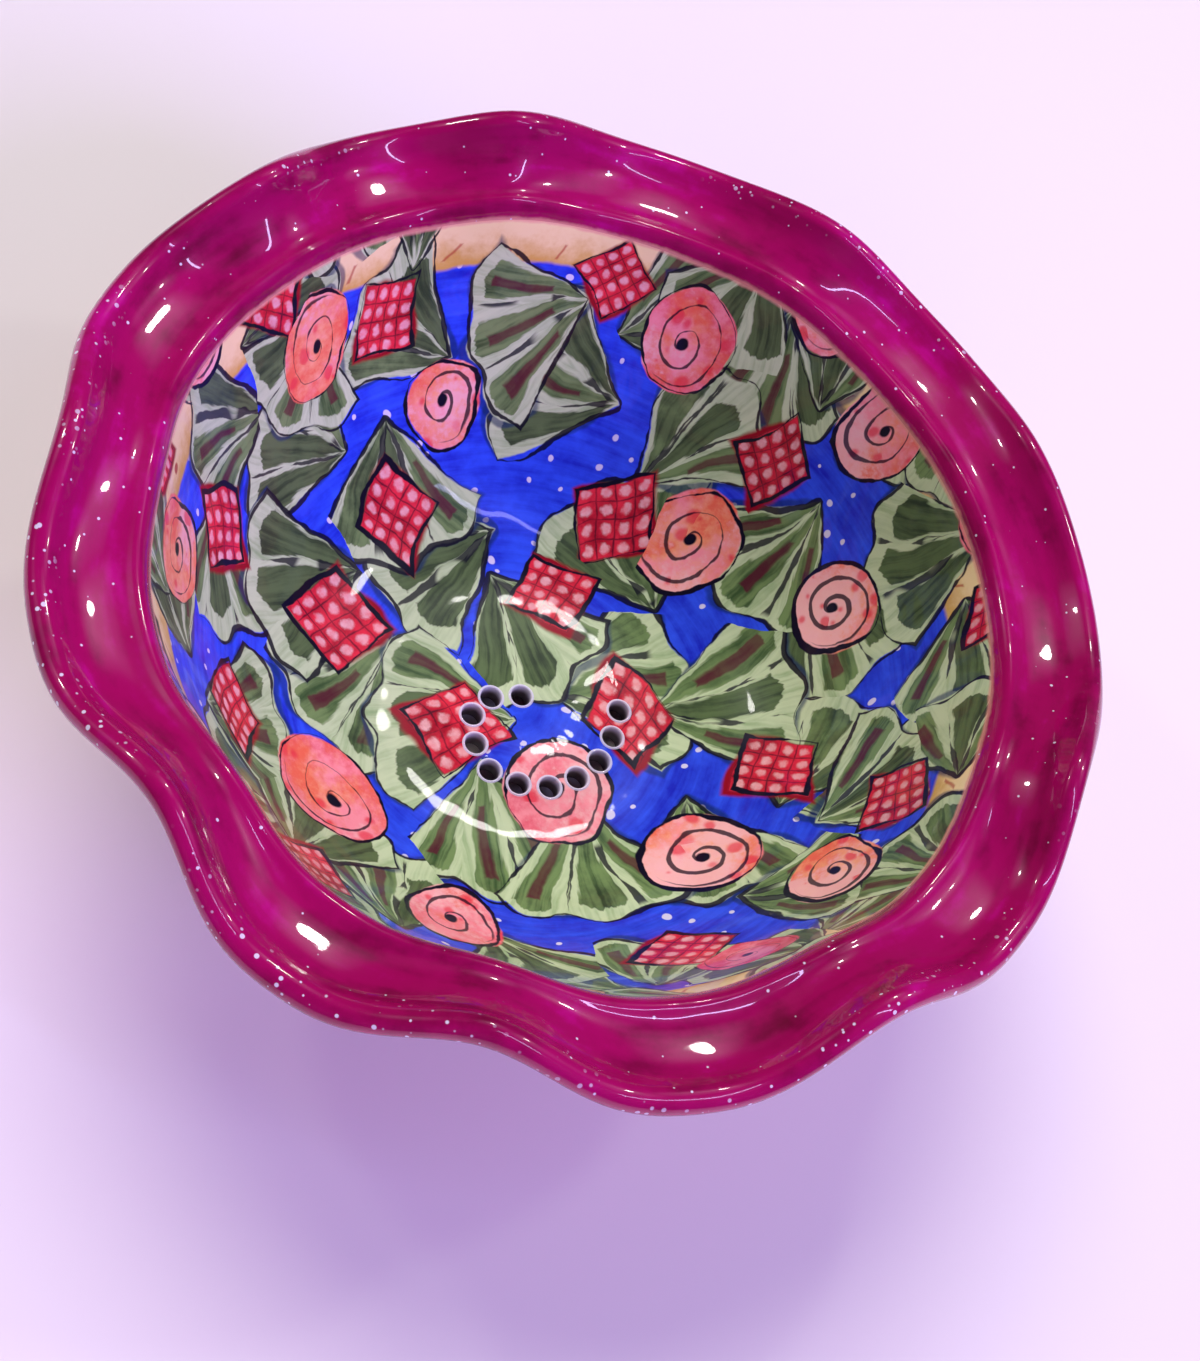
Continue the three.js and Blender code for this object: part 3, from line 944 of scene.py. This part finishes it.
# Foot ring
# A turned ring of the same stoneware, luted to the underside, with four arches that let the water out.
# It is bare clay: a glazed foot would stick to the kiln shelf.
FOOT_RADIUS = 60 * MM
FOOT_WIDTH = 9 * MM
FOOT_TAPER = 2.5 * MM
FOOT_ROUNDING = 1.4 * MM
FOOT_CORNER_STEPS = 5
FOOT_SINK = 1.5 * MM

foot_inner = FOOT_RADIUS - FOOT_WIDTH


def foot_top_at(radius):
    """Height of the foot's top at a distance from the axis, a little way into the basin."""
    for low, high in zip(wall_outside, wall_outside[1:]):
        if low.x <= radius <= high.x:
            return between(low.z, high.z, (radius - low.x) / (high.x - low.x)) + FOOT_SINK
    return underside_height + FOOT_SINK


def foot_corner(radius, start):
    """Points of a rounded lower edge of the foot, a quarter turn on from a heading."""
    centre = in_section(radius, FOOT_ROUNDING)
    turns = [start + 90 * step / FOOT_CORNER_STEPS for step in range(FOOT_CORNER_STEPS + 1)]
    return [centre + heading(turn) * FOOT_ROUNDING for turn in turns]


foot_top = foot_top_at(FOOT_RADIUS + FOOT_TAPER)
foot_line = foot_corner(FOOT_RADIUS - FOOT_ROUNDING, -90)
foot_line.append(in_section(FOOT_RADIUS + FOOT_TAPER, foot_top))
foot_line.append(in_section(foot_inner - FOOT_TAPER, foot_top_at(foot_inner - FOOT_TAPER)))
foot_line += foot_corner(foot_inner + FOOT_ROUNDING, 180)

# The edge of an arch, laid out flat: each place on it with the heading into the clay
ARCH_WIDTH = 20 * MM
ARCH_HEIGHT = 6 * MM
ARCH_STEPS = 28
ARCH_CORNER = 2 * MM
ARCH_CORNER_STEPS = 6
arch_edge = []
for step in range(ARCH_CORNER_STEPS):
    out = heading(-90 + 90 * step / ARCH_CORNER_STEPS)
    arch_edge.append((in_section(-ARCH_WIDTH / 2 - ARCH_CORNER, ARCH_CORNER) + out * ARCH_CORNER, -out))
crown = ARCH_HEIGHT - ARCH_CORNER
for step in range(ARCH_STEPS // 2):
    turn = heading(180 - 180 * step / ARCH_STEPS)
    place = in_section(turn.x * ARCH_WIDTH / 2, turn.z * crown + ARCH_CORNER)
    arch_edge.append((place, in_section(turn.x * crown, turn.z * ARCH_WIDTH / 2).normalized()))
far_side = []
for place, into in reversed(arch_edge):
    far_side.append((in_section(-place.x, place.z), in_section(-into.x, into.z)))
arch_edge += [(in_section(0, ARCH_HEIGHT), heading(90))] + far_side

# The lower edge of the foot all round, arch by arch with the level stretch after each
LEVEL_STEPS = 44
arch_places = []
for middle in opening_middles("foot_arch"):
    arch_places.append(math.atan2(middle.y, middle.x) % (2 * math.pi) * FOOT_RADIUS)
arch_places.sort()
full_round = 2 * math.pi * FOOT_RADIUS
foot_edge = []
for arch_place, next_place in zip(arch_places, arch_places[1:] + [arch_places[0] + full_round]):
    for place, into in arch_edge:
        foot_edge.append((place + in_section(arch_place, 0), into))
    level_start = foot_edge[-1][0]
    level_end = arch_edge[0][0] + in_section(next_place, 0)
    for step in range(1, LEVEL_STEPS):
        foot_edge.append((between(level_start, level_end, step / LEVEL_STEPS), heading(90)))

foot_clay = Clay()
foot_clay.turn(
    foot_line, [0.0] * len(foot_line), lengths_along(foot_line), closed=True, steps=len(foot_edge)
)
for vert in foot_clay.mesh.verts:
    ring = round(math.atan2(vert.co.y, vert.co.x) / (2 * math.pi) * len(foot_edge)) % len(foot_edge)
    place, into = foot_edge[ring]
    radius = math.hypot(vert.co.x, vert.co.y)
    height = vert.co.z
    if height < FOOT_ROUNDING + TINY:
        place = place + into * height
        height = place.z
        lean = FOOT_TAPER * max(height - FOOT_ROUNDING, 0) / (foot_top - FOOT_ROUNDING)
        radius += lean if radius > FOOT_RADIUS - FOOT_WIDTH / 2 else -lean
    angle = place.x / FOOT_RADIUS
    vert.co = (radius * math.cos(angle), radius * math.sin(angle), height)

# Bare stoneware with a fine grain and specks of iron
BUFF = tint(222, 200, 170)
BUFF_DARK = tint(188, 158, 122)
IRON = tint(110, 78, 56)
TOAST_SCALE = 120
GRAIN_SCALE = 1800
GRAIN_HEIGHT = 0.12 * MM
IRON_SPACING = 3.2 * MM
IRON_RADII = (0.12 * MM, 0.34 * MM)
IRON_EDGE = 0.15 * MM
stoneware = Glaze("bare_clay")
toast = stoneware.cloud(stoneware.place, TOAST_SCALE, 4.0, 0.6)
grain = stoneware.cloud(stoneware.place, GRAIN_SCALE, 2.0, 0.6)
clay_colour = stoneware.mix(BUFF, BUFF_DARK, stoneware.ramp(toast * 0.7 + grain * 0.4, 0.35, 0.8))
clay_colour = stoneware.mix(clay_colour, IRON, stoneware.specks(IRON_SPACING, IRON_RADII, IRON_EDGE) * 0.8)
clay_material = stoneware.fire(
    clay_colour, roughness=0.82, specular=0.3, normal=stoneware.bump(grain, GRAIN_HEIGHT)
)
foot = foot_clay.fired("foot", (clay_material,))
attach(foot, "root")
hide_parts("foot_ring")

# Table and studio light
# A plain pale table top, too wide to show its edge, under broad soft lights that leave no glints.
# Three small lamps and a cool strip leave the glints in the glaze.
TABLE_HALF = 15.0
TABLE_COLOUR = tint(233, 233, 232)
table_mesh = bmesh.new()
bmesh.ops.create_grid(table_mesh, x_segments=1, y_segments=1, size=TABLE_HALF)
table_data = bpy.data.meshes.new("pale_table")
table_mesh.to_mesh(table_data)
table_mesh.free()
table_data.materials.append(Glaze("pale_table").fire(TABLE_COLOUR, roughness=0.6, specular=0.3))
table = bpy.data.objects.new("pale_table", table_data)
bpy.context.scene.collection.objects.link(table)

bowl_middle = Vector((0, 0, throat_height))


def hang(name, kind, place, power, colour, glints=True):
    """A new light that faces the middle of the bowl, with or without a glint of its own in the glaze."""
    light = bpy.data.lights.new(name, kind)
    light.energy = power
    light.color = colour
    holder = bpy.data.objects.new(name, light)
    holder.location = place
    holder.rotation_euler = (bowl_middle - Vector(place)).to_track_quat("-Z", "Y").to_euler()
    holder.visible_glossy = glints
    bpy.context.scene.collection.objects.link(holder)
    return light


# Soft lights from far away: warm from behind, violet from the right and a weak warm one from the front
SOFT_SPREAD = math.radians(33)
SOFT_LIGHTS = (
    ("warm_light", (-1.5, 1.3, 2.9), 2.1, (1.0, 0.88, 0.85)),
    ("violet_light", (2.6, -0.5, 1.6), 3.2, (0.60, 0.38, 1.0)),
    ("front_light", (0.6, -2.8, 1.6), 0.5, (1.0, 0.90, 0.85)),
)
for name, place, power, colour in SOFT_LIGHTS:
    hang(name, "SUN", place, power, colour, glints=False).angle = SOFT_SPREAD

# Lights for the glints
LAMP_PLACES = {
    "back_lamp": (-0.06, 0.69, 1.08),
    "right_lamp": (0.58, 0.58, 0.97),
    "left_lamp": (-0.92, 0.03, 0.86),
}
LAMP_POWER = 1.1
LAMP_COLOUR = (1.0, 0.97, 0.93)
LAMP_SIZE = 0.09
STRIP_PLACE = (0.58, -0.05, 1.13)
STRIP_POWER = 2.2
STRIP_COLOUR = (0.55, 0.52, 1.0)
STRIP_WIDTH = 0.035
STRIP_LENGTH = 0.75
for name, place in LAMP_PLACES.items():
    lamp = hang(name, "AREA", place, LAMP_POWER, LAMP_COLOUR)
    lamp.shape = "DISK"
    lamp.size = LAMP_SIZE
strip = hang("cool_strip", "AREA", STRIP_PLACE, STRIP_POWER, STRIP_COLOUR)
strip.shape = "RECTANGLE"
strip.size = STRIP_WIDTH
strip.size_y = STRIP_LENGTH

# A dim violet room, with a soft halo on the ceiling round each lamp
ROOM_COLOUR = (0.78, 0.66, 1.0, 1)
ROOM_STRENGTH = 0.06
HALO_STRENGTH = 0.5
HALO_REACH = math.radians(19)
HALO_CORE = math.radians(3)
world = bpy.data.worlds.new("studio")
world.use_nodes = True
room = world.node_tree
direction = room.nodes.new("ShaderNodeTexCoord").outputs["Generated"]
shine = room.nodes["Background"]
shine.inputs["Color"].default_value = ROOM_COLOUR
shine.inputs["Strength"].default_value = ROOM_STRENGTH


def with_halo(shine, toward):
    """The light of the room with one more soft halo, whole at its core and gone beyond its reach."""
    nearness = room.nodes.new("ShaderNodeVectorMath")
    nearness.operation = "DOT_PRODUCT"
    nearness.inputs[1].default_value = toward.normalized()
    room.links.new(direction, nearness.inputs[0])
    fade = room.nodes.new("ShaderNodeMapRange")
    fade.interpolation_type = "SMOOTHSTEP"
    fade.inputs["From Min"].default_value = math.cos(HALO_REACH)
    fade.inputs["From Max"].default_value = math.cos(HALO_CORE)
    fade.inputs["To Max"].default_value = HALO_STRENGTH
    room.links.new(nearness.outputs["Value"], fade.inputs["Value"])
    halo = room.nodes.new("ShaderNodeBackground")
    halo.inputs["Color"].default_value = ROOM_COLOUR
    room.links.new(fade.outputs["Result"], halo.inputs["Strength"])
    both = room.nodes.new("ShaderNodeAddShader")
    room.links.new(shine.outputs[0], both.inputs[0])
    room.links.new(halo.outputs[0], both.inputs[1])
    return both


for place in LAMP_PLACES.values():
    shine = with_halo(shine, Vector(place) - bowl_middle)

# Straight behind the bowl, the room is as pale as the table
BACKDROP_COLOUR = (0.66, 0.56, 0.80, 1)
backdrop = room.nodes.new("ShaderNodeBackground")
backdrop.inputs["Color"].default_value = BACKDROP_COLOUR
seen = room.nodes.new("ShaderNodeMixShader")
room.links.new(room.nodes.new("ShaderNodeLightPath").outputs["Is Camera Ray"], seen.inputs[0])
room.links.new(shine.outputs[0], seen.inputs[1])
room.links.new(backdrop.outputs[0], seen.inputs[2])
room.links.new(seen.outputs[0], room.nodes["World Output"].inputs["Surface"])
bpy.context.scene.world = world
bpy.context.scene.view_settings.view_transform = "Standard"

# Camera
# It stands where the photograph was taken from, as seen from the tipped bowl: in front of it and above,
# rolled to one side, with a lens of 50 mm on a frame whose long side is 36 mm.
LENS = 50
LONG_SIDE = 36
TILT = math.radians(31.58)
ROLL = math.radians(33.56)
DISTANCE = 475 * MM
AIM_ACROSS = 0.8 * MM
AIM_UP = -27.67 * MM
AIM_HEIGHT = 95 * MM
CLIP_START = 10 * MM
back = Vector((0, -math.sin(TILT), math.cos(TILT)))
level = Vector((1, 0, 0))
climb = back.cross(level)
camera_right = level * math.cos(ROLL) + climb * math.sin(ROLL)
camera_up = climb * math.cos(ROLL) - level * math.sin(ROLL)
aim = Vector((0, 0, AIM_HEIGHT)) + camera_right * AIM_ACROSS + camera_up * AIM_UP
camera_data = bpy.data.cameras.new("camera")
camera_data.lens = LENS
camera_data.sensor_fit = "VERTICAL"
camera_data.sensor_height = LONG_SIDE
camera_data.clip_start = CLIP_START
camera = bpy.data.objects.new("camera", camera_data)
camera.matrix_world = Matrix((camera_right, camera_up, back)).transposed().to_4x4()
camera.location = aim + back * DISTANCE
bpy.context.scene.collection.objects.link(camera)
bpy.context.scene.camera = camera
